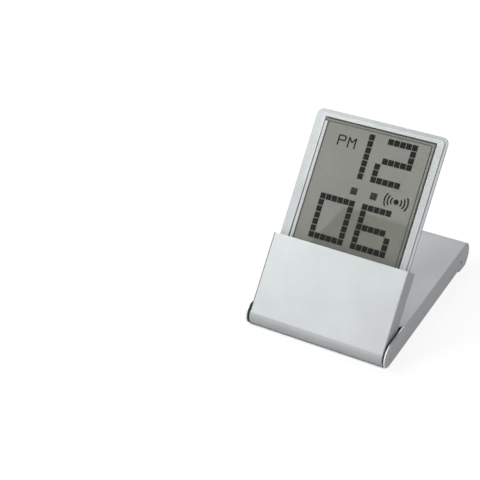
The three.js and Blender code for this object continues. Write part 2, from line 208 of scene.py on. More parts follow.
def scrap(piece):
    pick(piece)
    bpy.ops.object.delete()


def fix_place(piece):
    pick(piece)
    bpy.ops.object.transform_apply(location=True, rotation=True, scale=True)
    return piece


def block(name, low, high):
    bpy.ops.object.select_all(action="DESELECT")
    centre = [(a + b) / 2 for a, b in zip(low, high)]
    bpy.ops.mesh.primitive_cube_add(size=1, location=centre)
    piece = bpy.context.object
    piece.name = name
    piece.scale = [b - a for a, b in zip(low, high)]
    return fix_place(piece)


TURNS = {"x": (0, math.pi / 2, 0), "y": (math.pi / 2, 0, 0), "z": (0, 0, 0)}


def rod(name, axis, radius, start, end, sides):
    bpy.ops.object.select_all(action="DESELECT")
    start, end = Vector(start), Vector(end)
    bpy.ops.mesh.primitive_cylinder_add(
        vertices=sides,
        radius=radius,
        depth=(end - start).length,
        location=(start + end) / 2,
        rotation=TURNS[axis],
    )
    piece = bpy.context.object
    piece.name = name
    return fix_place(piece)


def axle(name, radius, place, left, right, sides):
    """A rod along x, at a place given by y and z."""
    return rod(name, "x", radius, (left, *place), (right, *place), sides)


def peg(name, radius, place, front, back, sides):
    """A rod along y, at a place given by x and z."""
    x, z = place
    return rod(name, "y", radius, (x, front, z), (x, back, z), sides)


def modify(piece, kind, **settings):
    pick(piece)
    step = piece.modifiers.new(kind.lower(), kind)
    for key, value in settings.items():
        setattr(step, key, value)
    bpy.ops.object.modifier_apply(modifier=step.name)


def shape(piece, operation, *tools):
    for tool in tools:
        modify(piece, "BOOLEAN", object=tool, operation=operation, solver="EXACT")
        scrap(tool)
    return piece


def weld(piece, *others):
    return shape(piece, "UNION", *others)


def carve(piece, *tools):
    return shape(piece, "DIFFERENCE", *tools)


def start_edit(piece, kind, action):
    """Opens a piece for editing, with all or none of its points, edges or faces selected."""
    pick(piece)
    bpy.ops.object.mode_set(mode="EDIT")
    bpy.ops.mesh.select_mode(type=kind)
    bpy.ops.mesh.select_all(action=action)


def end_edit():
    bpy.ops.object.mode_set(mode="OBJECT")


def tidy(piece):
    """Merges doubled points and dissolves leftover edges on flat faces."""
    start_edit(piece, "VERT", "SELECT")
    bpy.ops.mesh.remove_doubles(threshold=0.004)
    bpy.ops.mesh.dissolve_limited(angle_limit=math.radians(0.4))
    end_edit()


def drop_slivers(piece):
    """Merges points that all but touch and removes faces without width."""
    start_edit(piece, "VERT", "SELECT")
    bpy.ops.mesh.remove_doubles(threshold=0.002)
    bpy.ops.mesh.dissolve_degenerate(threshold=0.002)
    end_edit()


def round_edges(piece, chosen, width, segments):
    """Rounds the edges whose two end points are chosen."""
    start_edit(piece, "EDGE", "DESELECT")
    end_edit()
    points = piece.data.vertices
    for edge in piece.data.edges:
        edge.select = chosen(points[edge.vertices[0]].co, points[edge.vertices[1]].co)
    bpy.ops.object.mode_set(mode="EDIT")
    bpy.ops.mesh.bevel(offset=width, segments=segments, affect="EDGES")
    end_edit()


def sunk_face(piece, chosen, border, depth):
    """Sinks the chosen faces inside a border."""
    start_edit(piece, "FACE", "DESELECT")
    end_edit()
    for face in piece.data.polygons:
        face.select = chosen(face)
    bpy.ops.object.mode_set(mode="EDIT")
    bpy.ops.mesh.inset(thickness=border, depth=-depth)
    end_edit()


def break_edges(piece, width, segments=2, angle=38):
    """Rounds every edge that is sharper than an angle in degrees."""
    modify(
        piece,
        "BEVEL",
        width=width,
        segments=segments,
        limit_method="ANGLE",
        angle_limit=math.radians(angle),
    )


def finish_piece(piece, place, body, slot, material, *nodes, edges=()):
    """Puts a piece in its place with its finish; edges lists further finishes and their faces."""
    drop_slivers(piece)
    piece.data.materials.clear()
    piece.data.materials.append(material)
    for number, (extra, chosen) in enumerate(edges, 1):
        piece.data.materials.append(extra)
        for face in piece.data.polygons:
            if chosen(face):
                face.material_index = number
    piece.matrix_world = place
    fix_place(piece)
    bpy.ops.object.shade_smooth_by_angle(angle=math.radians(32))
    modify(piece, "WEIGHTED_NORMAL", weight=100, keep_sharp=True)
    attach(piece, body)
    if nodes:
        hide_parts(*nodes)


def copy_of(piece, name):
    pick(piece)
    bpy.ops.object.duplicate()
    twin = bpy.context.object
    twin.name = name
    return twin


def moved(piece, x, y, z):
    piece.location = (x, y, z)
    return fix_place(piece)


def gathered(name, parts):
    pick(*parts)
    bpy.ops.object.join()
    whole = bpy.context.object
    whole.name = name
    return whole


# Finishes
def wire(tree, pairs):
    for source, target in pairs:
        tree.links.new(source, target)


def node(tree, kind, settings=None, **inputs):
    made = tree.nodes.new(kind)
    for key, value in (settings or {}).items():
        setattr(made, key, value)
    for key, value in inputs.items():
        made.inputs[key].default_value = value
    return made


def grain_group():
    """Fine blasted grain and broad clouds, for tone, roughness and bump."""
    tree = bpy.data.node_groups.new("fine_grain", "ShaderNodeTree")
    for name in ("Grain", "Clouds", "Cloudiness"):
        tree.interface.new_socket(name, in_out="INPUT", socket_type="NodeSocketFloat")
    for name in ("Tone", "Height"):
        tree.interface.new_socket(name, in_out="OUTPUT", socket_type="NodeSocketFloat")
    given = node(tree, "NodeGroupInput")
    result = node(tree, "NodeGroupOutput")
    place = node(tree, "ShaderNodeTexCoord")
    fine = node(tree, "ShaderNodeTexNoise", Detail=2.0, Roughness=0.6)
    broad = node(tree, "ShaderNodeTexNoise", Detail=3.0, Roughness=0.55)
    blend = node(tree, "ShaderNodeMix")
    wire(tree, [
        (place.outputs["Object"], fine.inputs["Vector"]),
        (place.outputs["Object"], broad.inputs["Vector"]),
        (given.outputs["Grain"], fine.inputs["Scale"]),
        (given.outputs["Clouds"], broad.inputs["Scale"]),
        (given.outputs["Cloudiness"], blend.inputs[0]),
        (fine.outputs[0], blend.inputs[2]),
        (broad.outputs[0], blend.inputs[3]),
        (blend.outputs[0], result.inputs["Tone"]),
        (fine.outputs[0], result.inputs["Height"]),
    ])
    return tree


FINE_GRAIN = grain_group()


def linear(red, green, blue):
    """A screen colour as the linear colour that a shader takes."""
    def channel(value):
        value /= 255
        return value / 12.92 if value <= 0.04045 else ((value + 0.055) / 1.055) ** 2.4

    return (channel(red), channel(green), channel(blue), 1.0)


def finish(name, dark, light, rough, grain, clouds=60.0, cloudiness=0.4, bump=0.05, **constants):
    """A finish between two colours and two roughnesses, which follow the fine grain."""
    material = bpy.data.materials.new(name)
    material.use_nodes = True
    tree = material.node_tree
    shader = tree.nodes["Principled BSDF"]
    for key, value in constants.items():
        shader.inputs[key.replace("_", " ")].default_value = value
    texture = node(tree, "ShaderNodeGroup", {"node_tree": FINE_GRAIN})
    texture.inputs["Grain"].default_value = grain
    texture.inputs["Clouds"].default_value = clouds
    texture.inputs["Cloudiness"].default_value = cloudiness
    spread = node(tree, "ShaderNodeMapRange", **{"From Min": 0.35, "From Max": 0.65})
    colour = node(tree, "ShaderNodeMix", {"data_type": "RGBA"})
    colour.inputs[6].default_value = linear(*dark)
    colour.inputs[7].default_value = linear(*light)
    polish = node(tree, "ShaderNodeMapRange", **{"To Min": rough[0], "To Max": rough[1]})
    relief = node(tree, "ShaderNodeBump", Strength=bump, Distance=0.0001)
    wire(tree, [
        (texture.outputs["Tone"], spread.inputs["Value"]),
        (spread.outputs[0], colour.inputs[0]),
        (spread.outputs[0], polish.inputs["Value"]),
        (texture.outputs["Height"], relief.inputs["Height"]),
        (colour.outputs[2], shader.inputs["Base Color"]),
        (polish.outputs[0], shader.inputs["Roughness"]),
        (relief.outputs[0], shader.inputs["Normal"]),
    ])
    return material


def blasted(name, dark, light):
    return finish(name, dark, light, (0.4, 0.5), 5200.0, bump=0.12, Metallic=0.4)


def ink(name, dark, light, rough=(0.5, 0.6)):
    return finish(name, dark, light, rough, 1500.0, Specular_IOR_Level=0.0)


def larger_of(tree, first, second):
    made = node(tree, "ShaderNodeMath", {"operation": "MAXIMUM"})
    wire(tree, [(first, made.inputs[0]), (second, made.inputs[1])])
    return made.outputs[0]


def clear_for(material, rays):
    """Makes a finish transparent to some rays."""
    tree = material.node_tree
    clear = node(tree, "ShaderNodeBsdfTransparent")
    either = node(tree, "ShaderNodeMixShader")
    wire(tree, [
        (rays, either.inputs[0]),
        (tree.nodes["Principled BSDF"].outputs[0], either.inputs[1]),
        (clear.outputs[0], either.inputs[2]),
        (either.outputs[0], tree.nodes["Material Output"].inputs["Surface"]),
    ])
    return material


def light_passes(material):
    """Keeps a clear piece from throwing a shadow."""
    path = node(material.node_tree, "ShaderNodeLightPath")
    return clear_for(material, path.outputs["Is Shadow Ray"])


def see_through(material):
    """Lets light reach what lies behind a clear piece."""
    tree = material.node_tree
    path = node(tree, "ShaderNodeLightPath")
    soft = larger_of(tree, path.outputs["Is Shadow Ray"], path.outputs["Is Diffuse Ray"])
    mirrored = node(tree, "ShaderNodeMath", {"operation": "SUBTRACT"})
    wire(tree, [
        (path.outputs["Is Glossy Ray"], mirrored.inputs[0]),
        (path.outputs["Is Transmission Ray"], mirrored.inputs[1]),
    ])
    return clear_for(material, larger_of(tree, soft, mirrored.outputs[0]))


ALUMINIUM = blasted("satin_aluminium", (166, 168, 171), (182, 184, 186))
# Darker copy of the aluminium for flat side faces: painted shade, as the sides catch less light.
SHADED_SIDE_ALUMINIUM = blasted("shaded_side_aluminium", (153, 155, 158), (168, 170, 172))
# A still darker copy for the case's flat sides: painted shade.
SHADED_CASE_SIDE = blasted("shaded_case_side", (145, 147, 150), (160, 162, 164))
# Near-white aluminium for the wall rims, the cover's front lip and the rivet heads: painted
# highlight.
PAINTED_HIGHLIGHT = finish("painted_highlight_aluminium", (226, 228, 229), (240, 241, 242), (0.3, 0.42), 4200.0,
                 Metallic=0.2)
# Dark aluminium for the slopes inside the wall rims and the case's left edge: painted shade.
PAINTED_SHADE_EDGE = finish("painted_shade_edge", (84, 84, 88), (100, 100, 104), (0.35, 0.45), 4200.0, Metallic=0.3)
STEEL = finish("bright_steel", (160, 160, 160), (196, 196, 196), (0.2, 0.34), 3000.0, Metallic=0.9)
DARK_STEEL = finish("dark_steel", (52, 52, 54), (84, 84, 86), (0.3, 0.45), 3000.0, Metallic=0.8)
BLACK_NYLON = finish("black_nylon", (12, 12, 13), (26, 26, 28), (0.5, 0.65), 2500.0)
GREY_PLASTIC = finish("grey_plastic", (92, 94, 98), (108, 110, 114), (0.45, 0.6), 2600.0, bump=0.15)
GREEN_BOARD = finish("green_board", (24, 84, 48), (34, 112, 62), (0.35, 0.5), 900.0)
PALE_RUBBER = finish("pale_rubber", (172, 173, 167), (190, 191, 185), (0.7, 0.85), 1800.0)
AMBER_FILM = finish("amber_film", (164, 96, 26), (190, 118, 40), (0.3, 0.45), 1200.0)
BRASS = finish("brass", (178, 146, 70), (206, 172, 92), (0.25, 0.4), 2600.0, Metallic=0.9)
FOIL = finish("reflector_foil", (156, 158, 149), (172, 174, 165), (0.3, 0.42), 2200.0, Metallic=0.2)
LCD_GLASS = finish("lcd_glass", (128, 128, 121), (136, 136, 129), (0.02, 0.04), 900.0,
                   clouds=26.0, cloudiness=0.9, bump=0.0, Specular_IOR_Level=0.8)
LCD_INK = ink("lcd_ink", (42, 42, 41), (52, 52, 50))
LCD_FAINT_INK = ink("lcd_faint_ink", (54, 55, 52), (64, 65, 61))
LCD_LINE = ink("lcd_line", (96, 97, 90), (106, 107, 100), (0.3, 0.4))
# Mid grey for the seal at the crystal's edges: painted shade of the gap under the frame.
LCD_EDGE_SHADE = ink("lcd_edge_shade", (74, 74, 71), (88, 88, 84))
# Dark lines in the clear frame, at its step and the window's left edge: painted shade.
ACRYLIC_SHADE_LINE = finish("acrylic_shade_line", (92, 94, 96), (108, 110, 112), (0.3, 0.4), 1400.0)
# Darker grey for the frame's outer edge: painted shade.
ACRYLIC_EDGE_SHADE = finish("acrylic_edge_shade", (146, 149, 153), (160, 163, 167), (0.2, 0.3), 1400.0)
# Darker copy of the acrylic for the lowered rim and the window guide: painted shade.
ACRYLIC_RIM_SHADE = light_passes(finish(
    "acrylic_rim_shade", (184, 186, 190), (196, 198, 202), (0.2, 0.3), 1400.0, clouds=90.0,
))
ACRYLIC = light_passes(finish(
    "clear_acrylic", (206, 208, 211), (218, 220, 223), (0.16, 0.24), 1400.0, clouds=90.0, bump=0.02,
    Transmission_Weight=0.25, IOR=1.49, Coat_Weight=0.5, Coat_Roughness=0.06,
))
LENS = see_through(finish(
    "clear_lens", (248, 250, 249), (254, 254, 254), (0.0, 0.004), 700.0, bump=0.0,
    Transmission_Weight=1.0, IOR=1.05,
))


# Stand: one bent sheet with two side walls and a rolled rear end
def stand_shell():
    shell = block(
        "stand_shell", (-STAND_HALF, -END_RADIUS, -END_RADIUS), (STAND_HALF, ROLL_Y, END_RADIUS),
    )

    def front_edge(a, b):
        return max(a.y, b.y) < -END_RADIUS + TOUCH and abs(a.z - b.z) < TOUCH

    round_edges(shell, front_edge, END_RADIUS - 0.002, 22)
    roll = (ROLL_Y, ROLL_Z)
    weld(shell, axle("roll", ROLL_RADIUS, roll, -STAND_HALF, STAND_HALF, 96))
    deep = -30.0
    carve(
        shell,
        block("hollow", (-WALL_INSIDE, -PAST, deep), (WALL_INSIDE, ROLL_Y, END_RADIUS - COVER_T)),
        axle("roll_hollow", ROLL_RADIUS - ROLL_T, roll, -WALL_INSIDE, WALL_INSIDE, 96),
        block("lip_cut", (-WALL_INSIDE, ROLL_Y - PAST, deep), (WALL_INSIDE, LIP_Y, ROLL_Z)),
        block("front_opening", (-WALL_INSIDE, -PAST, deep), (WALL_INSIDE, COVER_EDGE, -deep)),
    )
    for side in (-1, 1):
        near, far = sorted((side * (STAND_HALF - COVER_CORNER), side * WALL_INSIDE))
        corner = block("corner", (near, COVER_EDGE - 1, 0), (far, COVER_EDGE + COVER_CORNER, PAST))
        turn = (side * (STAND_HALF - COVER_CORNER), COVER_EDGE + COVER_CORNER)
        carve(corner, rod("turn", "z", COVER_CORNER, (*turn, -5), (*turn, 30), 96))
        carve(shell, corner)
    for radius, place, sides in (
        (PIN_RADIUS, (0, 0), 48), (DETENT_RADIUS, DETENT, 32), (RIVET_RADIUS, RIVET, 24),
    ):
        carve(shell, axle("hole", radius + RUN_GAP, place, -FAR, FAR, sides))
    ground = block("ground", (-60, -200, -40), (60, 200, -hinge.z * 1000))
    ground.rotation_euler.x = -tilt
    carve(shell, fix_place(ground))
    rim_z = END_RADIUS - RIM_DROP
    for side in (-1, 1):
        near, far = sorted((side * (WALL_INSIDE - 0.2), side * (STAND_HALF + 1)))
        carve(shell, block("rim_cut", (near, -3, rim_z), (far, RIM_END, PAST)))

    def rim_at(x):
        def chosen(a, b):
            beside = abs(abs(a.x) - x) + abs(abs(b.x) - x) < 2 * TOUCH
            level = abs(a.z - rim_z) + abs(b.z - rim_z) < 2 * TOUCH
            on_top = level and max(a.y, b.y) < RIM_END + 0.1
            on_front = max(a.y, b.y) < 0.1 and min(a.yz.length, b.yz.length) > END_RADIUS - 0.1
            return beside and (on_top or on_front)

        return chosen

    def cover_lip(a, b):
        at_top = min(a.z, b.z) > END_RADIUS - TOUCH
        at_front = COVER_EDGE - TOUCH < min(a.y, b.y) and max(a.y, b.y) < RIM_END + 0.2
        return at_top and at_front and max(abs(a.x), abs(b.x)) < WALL_INSIDE - 0.1

    def outer_edge(a, b):
        on_end = min(abs(a.x), abs(b.x)) > STAND_HALF - TOUCH
        upper = max(a.z, b.z) > ROLL_Z - TOUCH and min(a.y, b.y) > 6
        pin_hole = min(abs(a.y), abs(b.y)) < 2
        rear_hole = abs(a.z) < 3.9 and 78 < a.y < 90
        return on_end and upper and not pin_hole and not rear_hole

    tidy(shell)
    round_edges(shell, rim_at(WALL_INSIDE), RIM_CUT_INSIDE, 1)
    round_edges(shell, rim_at(STAND_HALF), RIM_CUT_OUTSIDE, 1)
    round_edges(shell, outer_edge, COVER_ROUND, 4)
    round_edges(shell, cover_lip, LIP_ROUND, 2)

    # Rim faces of the walls and the front of the cover's lip, which take the painted highlight.
    def highlight_rim(face):
        nearest = min(abs(shell.data.vertices[i].co.x) for i in face.vertices)
        on_wall = nearest > WALL_INSIDE - TOUCH and abs(face.normal.x) < 0.6
        on_cover = face.center.z > END_RADIUS - 0.5 and face.center.y > COVER_EDGE
        at_edge = on_cover and face.center.y < RIM_END + 0.5 and face.normal.y < -0.3
        return on_wall and not on_cover or at_edge

    # Slopes inside the wall rims, painted dark as the shade in the gap beside the case.
    def shaded_inner_slope(face):
        beside = 0.05 < abs(face.center.x) - WALL_INSIDE < 0.3
        sloped = 0.5 < -face.normal.x * math.copysign(1, face.center.x) < 0.9
        return beside and sloped and face.center.y < COVER_EDGE + COVER_CORNER

    # Side faces of both walls, which take the painted shade of the sides.
    def shaded_wall_side(face):
        return abs(face.normal.x) > 0.95

    finish_piece(
        shell, STAND, "stand", "satin_aluminium", ALUMINIUM, "stand_channel",
        edges=[(PAINTED_HIGHLIGHT, highlight_rim), (PAINTED_SHADE_EDGE, shaded_inner_slope), (SHADED_SIDE_ALUMINIUM, shaded_wall_side)],
    )


stand_shell()


# Pins and rivets through the side walls, each with a rounded or slotted end
def wall_pins():
    for label, side in (("left", -1), ("right", 1)):
        face, start = side * STAND_HALF, side * STUD_START
        head = (side * HEAD_START, side * HEAD_END)
        pin = axle(f"{label}_axle", PIN_RADIUS, (0, 0), side * PIN_START, face, 48)
        break_edges(pin, PIN_ROUND, 3)
        # The pin ends take the walls' painted shade tone rather than a steel one.
        finish_piece(pin, STAND, "stand", "bright_steel", SHADED_SIDE_ALUMINIUM, f"{label}_hinge_pin")
        y, z = DETENT
        stud = axle(f"{label}_detent_stud", DETENT_RADIUS, DETENT, start, face, 32)
        weld(stud, axle("head", DETENT_RADIUS + HEAD_RIM, DETENT, *head, 32))
        slot = block("slot", (-FAR, y - 2, z - SLOT_HALF), (FAR, y + 2, z + SLOT_HALF))
        near, far = sorted((side * (STAND_HALF - SLOT_DEPTH), side * 40))
        trench = block("trench", (near, y - 2, z - 3), (far, y + 2, z + 3))
        carve(stud, shape(slot, "INTERSECT", trench))
        break_edges(stud, BROKEN_EDGE)
        finish_piece(stud, STAND, "stand", "dark_steel", DARK_STEEL, f"{label}_detent_pin")
        rivet = axle(f"{label}_rivet", RIVET_RADIUS, RIVET, start, face, 24)
        weld(rivet, axle("head", RIVET_RADIUS + HEAD_RIM, RIVET, *head, 24))
        break_edges(rivet, RIVET_ROUND, 3)
        # The rivet heads take the painted highlight.
        finish_piece(rivet, STAND, "stand", "bright_steel", PAINTED_HIGHLIGHT, f"{label}_stop_rivet")


wall_pins()


# Case: face, sides and foot barrel in one shell, with a back panel let in between the sides
def case_front():
    shell = axle("case_front", BARREL, (0, 0), -CASE_HALF, CASE_HALF, 128)
    weld(shell, block("body", (-CASE_HALF, FACE - 1, 0), (CASE_HALF, BACK, CASE_TOP)))
    inner_half = CASE_HALF - SIDE_T
    carve(
        shell,
        block("face_cut", (-FAR, -30, -30), (FAR, FACE, 60)),
        block("inside", (-inner_half, FACE + PANEL_T, CASE_FOOT), (inner_half, PAST, 60)),
        axle("bore", BORE, (0, 0), -FAR, FAR, 64),
    )

    def end_edge(a, b):
        on_end = min(abs(a.x), abs(b.x)) > CASE_HALF - TOUCH
        in_bore = max(math.hypot(a.y, a.z), math.hypot(b.y, b.z)) < BORE + 0.1
        at_top = min(a.z, b.z) > CASE_TOP - TOUCH
        at_back = min(a.y, b.y) > BACK - TOUCH
        return on_end and not in_bore and not at_top and not at_back

    def top_edge(a, b):
        return min(a.z, b.z) > CASE_TOP - TOUCH and max(a.y, b.y) < FACE + TOUCH

    tidy(shell)
    round_edges(shell, end_edge, CASE_ROUND, 5)
    round_edges(shell, top_edge, CASE_TOP_ROUND, 3)

    # The rounding of the case's left edge takes a thin painted shade line.
    def shaded_left_edge(face):
        return -0.98 < face.normal.x < -0.12 and face.normal.y < -0.1 and face.center.z > 0

    # The case's flat sides, which take their painted shade.
    def shaded_case_side(face):
        return abs(face.normal.x) > 0.98

    finish_piece(
        shell, CASE, "clock_case", "satin_aluminium", ALUMINIUM, "front_shell",
        edges=[(PAINTED_SHADE_EDGE, shaded_left_edge), (SHADED_CASE_SIDE, shaded_case_side)],
    )


case_front()


def case_back():
    half = CASE_HALF - SIDE_T - PANEL_GAP
    panel = block(
        "case_back", (-half, BACK - PANEL_T, CASE_FOOT + PANEL_GAP), (half, BACK, CASE_TOP),
    )
    opening = peg("opening", DOOR_RADIUS + DOOR_GAP, DOOR, 0, PAST, 96)
    for half_turn in (0, math.pi):
        notch = block("notch", (-NOTCH_HALF, 0, 0), (NOTCH_HALF, PAST, NOTCH_REACH))
        notch.rotation_euler.y = NOTCH_TURN - half_turn
        notch.location = (DOOR[0], 0, DOOR[1])
        weld(opening, fix_place(notch))
    carve(panel, opening)
    for x in KEYS.values():
        carve(panel, peg("key_hole", KEY_RADIUS + KEY_GAP, (x, KEY_Z), 0, PAST, 48))
    for place in SCREWS:
        carve(panel, peg("sink", SINK_RADIUS, place, BACK - SINK_DEPTH, PAST, 40))
    break_edges(panel, PANEL_ROUND)
    finish_piece(panel, CASE, "clock_case", "satin_aluminium", ALUMINIUM, "back_shell")


case_back()


# Keys, battery door and screws on the back
def keys():
    top = BACK + KEY_PROUD
    cap = peg("key_cap", KEY_RADIUS, (0, 0), KEY_FRONT, top, 48)
    round_edges(cap, lambda a, b: min(a.y, b.y) > top - TOUCH, KEY_ROUND, 4)
    sunk_face(cap, lambda face: face.normal.y > 0.9, KEY_RIM, KEY_DISH)
    flange = (KEY_FRONT - FLANGE_HALF_T, KEY_FRONT + FLANGE_HALF_T)
    weld(cap, peg("flange", KEY_RADIUS + FLANGE_RIM, (0, 0), *flange, 48))
    for name, x in KEYS.items():
        key = moved(copy_of(cap, name.replace("button", "key")), x, 0, KEY_Z)
        finish_piece(key, CASE, name, "grey_plastic", GREY_PLASTIC, name)
    scrap(cap)


keys()


def battery_cover():
    x, z = DOOR
    door = peg("battery_cover", DOOR_RADIUS, DOOR, DOOR_FRONT, FLUSH, 96)
    lugs = peg("lugs", LUG_RADIUS, DOOR, DOOR_FRONT - LUG_HALF_T, DOOR_FRONT + LUG_HALF_T, 96)
    band = block("lug_band", (x - LUG_HALF, 3, z - 12), (x + LUG_HALF, 4, z + 12))
    weld(door, shape(lugs, "INTERSECT", band))
    round_edges(door, lambda a, b: min(a.y, b.y) > FLUSH - TOUCH, DOOR_ROUND, 3)
    carve(door, block(
        "coin_slot",
        (x - COIN_SLOT_HALF_LENGTH, FLUSH - COIN_SLOT_DEPTH, z - COIN_SLOT_HALF_WIDTH),
        (x + COIN_SLOT_HALF_LENGTH, 9, z + COIN_SLOT_HALF_WIDTH),
    ))
    break_edges(door, BROKEN_EDGE)
    finish_piece(door, CASE, "battery_door", "grey_plastic", GREY_PLASTIC, "battery_door")


battery_cover()


def screws():
    screw = peg("screw", SCREW_RADIUS, (0, 0), FLUSH - SCREW_T, FLUSH, 40)
    round_edges(screw, lambda a, b: min(a.y, b.y) > FLUSH - TOUCH, SCREW_ROUND, 3)
    weld(screw, peg("shank", SHANK_RADIUS, (0, 0), SHANK_FRONT, FLUSH - SCREW_T / 2, 24))
    long, short = CROSS_HALF_LENGTH, CROSS_HALF_WIDTH
    for name, x, z in (("cross_a", long, short), ("cross_b", short, long)):
        carve(screw, block(name, (-x, FLUSH - CROSS_DEPTH, -z), (x, 9, z)))
    for number, (x, z) in enumerate(SCREWS, 1):
        one = moved(copy_of(screw, f"cross_screw_{number}"), x, 0, z)
        finish_piece(one, CASE, "clock_case", "bright_steel", STEEL, f"case_screw_{number}")
    scrap(screw)


screws()


# Display: clear frame, lens, and the liquid crystal with its figures
def upright(a, b):
    return abs(a.x - b.x) < TOUCH and abs(a.z - b.z) < TOUCH


def border(name, outer, inner, front, back, corner):
    """A flat ring between two outlines, each given as left, foot, right and top."""
    ring = block(name, (outer[0], front, outer[1]), (outer[2], back, outer[3]))
    gap = block("gap", (inner[0], front - 1, inner[1]), (inner[2], back + 1, inner[3]))
    if corner:
        for part in (ring, gap):
            round_edges(part, upright, corner, 6)
    return carve(ring, gap)


def outward(point):
    """How far a point lies beyond the frame's rounded outline, seen from the front."""
    across = max(abs(point.x) - FRAME_HALF + FRAME_CORNER, 0)
    up = max(point.z - FRAME_TOP + FRAME_CORNER, 0)
    return math.hypot(across, up) - FRAME_CORNER


def acrylic_frame():
    bar = block(
        "acrylic_frame",
        (-FRAME_HALF, FRAME_FRONT, FRAME_FOOT),
        (FRAME_HALF, FRAME_BACK, FRAME_TOP),
    )
    round_edges(bar, lambda a, b: upright(a, b) and a.z > FRAME_TOP - 1, FRAME_CORNER, 10)
    carve(bar, block("window", (-WINDOW_HALF, -9, 0), (WINDOW_HALF, 9, WINDOW_TOP)))

    def window_side(a, b):
        at_front = max(a.y, b.y) < FRAME_FRONT + TOUCH
        return at_front and abs(abs(a.x) - WINDOW_HALF) < TOUCH and abs(a.x - b.x) < TOUCH

    round_edges(bar, window_side, WINDOW_CUT, 2)
    start = FRAME_FRONT + FRAME_BAND
    taper = math.atan2(FRAME_TAPER, FRAME_BACK - start)
    for side, turn in ((-1, math.pi / 2 - taper), (1, taper)):
        wedge = block("wedge", (0, 0, 0), (9, 12, 90))
        wedge.rotation_euler.z = turn
        wedge.location = (side * FRAME_HALF, start, FRAME_FOOT - 10)
        carve(bar, fix_place(wedge))
    reach = FRAME_HALF - FRAME_RIM
    step_y = FRAME_FRONT + RIM_STEP
    carve(bar, border(
        "rim_step",
        (-FAR, FRAME_FOOT - PAST, FAR, FRAME_TOP + PAST),
        (-reach, FRAME_FOOT - 10, reach, FRAME_TOP - FRAME_RIM),
        FRAME_FRONT - 5, step_y, FRAME_CORNER - FRAME_RIM,
    ))

    def outer_rim(a, b):
        at_step = abs(a.y - step_y) + abs(b.y - step_y) < TOUCH
        at_side = min(abs(a.x), abs(b.x)) > FRAME_HALF - TOUCH
        high = max(a.z, b.z) > FRAME_TOP - FRAME_CORNER
        at_top = high and min(outward(a), outward(b)) > -2 * TOUCH
        return at_step and (at_side or at_top) and min(a.z, b.z) > FRAME_FOOT - TOUCH

    tidy(bar)
    round_edges(bar, outer_rim, FRAME_ROUND, 4)
    break_edges(bar, FRAME_BREAK, 3, 20)

    # Walls of the frame's step, which take a painted shade line.
    def step_shade_line(face):
        x, z = abs(face.center.x), face.center.z
        inside = x < FRAME_HALF - 0.5 and z < FRAME_TOP - 0.5
        outside = x > WINDOW_HALF + 1 or z > WINDOW_TOP + 0.5
        return inside and outside and face.center.y < step_y - 0.02 and face.normal.y > -0.9

    # Front of the lowered rim, which takes the rim's painted shade.
    def rim(face):
        return face.normal.y < -0.9 and FRAME_FRONT + 0.2 < face.center.y < step_y + 0.1

    # The left window edge's inner face, which takes a painted shade line.
    def inner_shade_line(face):
        deep = face.normal.x > 0.75 and -0.9 < face.center.y < -0.35
        return deep and abs(face.center.x + WINDOW_HALF) < 0.3

    # The frame's outer edge band, which takes the painted shade.
    def shaded_outer_band(face):
        at_rim = 0 < face.center.y - FRAME_FRONT - RIM_STEP < 0.35
        return at_rim and -0.98 < face.normal.y < 0.1 and outward(face.center) > -0.35

    finish_piece(
        bar, CASE, "clock_case", "clear_acrylic", ACRYLIC, "display_frame",
        edges=[
            (ACRYLIC_SHADE_LINE, step_shade_line), (ACRYLIC_RIM_SHADE, rim), (ACRYLIC_SHADE_LINE, inner_shade_line),
            (ACRYLIC_EDGE_SHADE, shaded_outer_band),
        ],
    )


acrylic_frame()


def liquid_crystal():
    # The window guide takes the rim's painted shade tone.
    guide = block("window_guide", GUIDE_LOW, GUIDE_HIGH)
    break_edges(guide, GUIDE_ROUND)
    finish_piece(guide, CASE, "clock_case", "clear_acrylic", ACRYLIC_RIM_SHADE)
    lens = block("display_window", (-LCD_HALF, -LENS_T, FRAME_FOOT), (LCD_HALF, 0, LCD_TOP))
    break_edges(lens, BROKEN_EDGE)
    finish_piece(lens, CASE, "clock_case", "clear_acrylic", LENS, "display_lens")
    panel = block(
        "lcd_panel", (-LCD_HALF, LCD_FRONT, FRAME_FOOT), (LCD_HALF, LCD_FRONT + LCD_T, LCD_TOP),
    )
    break_edges(panel, BROKEN_EDGE)
    finish_piece(panel, CASE, "clock_case", "lcd_glass", LCD_GLASS, "lcd_front_glass")
    # The seal is a real ring; its dark tone is painted shade of the gap under the frame.
    seal = border("lcd_seal", SEAL_OUTER, SEAL_INNER, SEAL_FRONT, INK_BACK, 0)
    finish_piece(seal, CASE, "clock_case", "black_nylon", LCD_EDGE_SHADE)
    line = border("polariser_edge", FILM_OUTER, FILM_INNER, FILM_FRONT, INK_BACK, FILM_CORNER)
    finish_piece(line, CASE, "clock_case", "lcd_glass", LCD_LINE)


liquid_crystal()

# Squares of the figures, from the middle of each figure's upper left square
FIGURES = {
    (-16.45, 85.7): ("     #",) * 7,
    (3.0, 85.7): (" #####", "     #", "     #", " #####", "#     ", "#     ", "##### "),
    (-16.45, 56.35): ("######",) + ("#    #",) * 5 + ("######",),
    (3.0, 56.35): ("##### ", "#     ", "#     ", "##### ", "#    #", "#    #", "######"),
}
FIGURE_STEP = (2.7, 2.87)
FIGURE_SQUARE = (2.4, 2.56)
COLON = [(-3.7, 61.65), (5.35, 61.65)]
COLON_SQUARE = (2.9, 3.0)

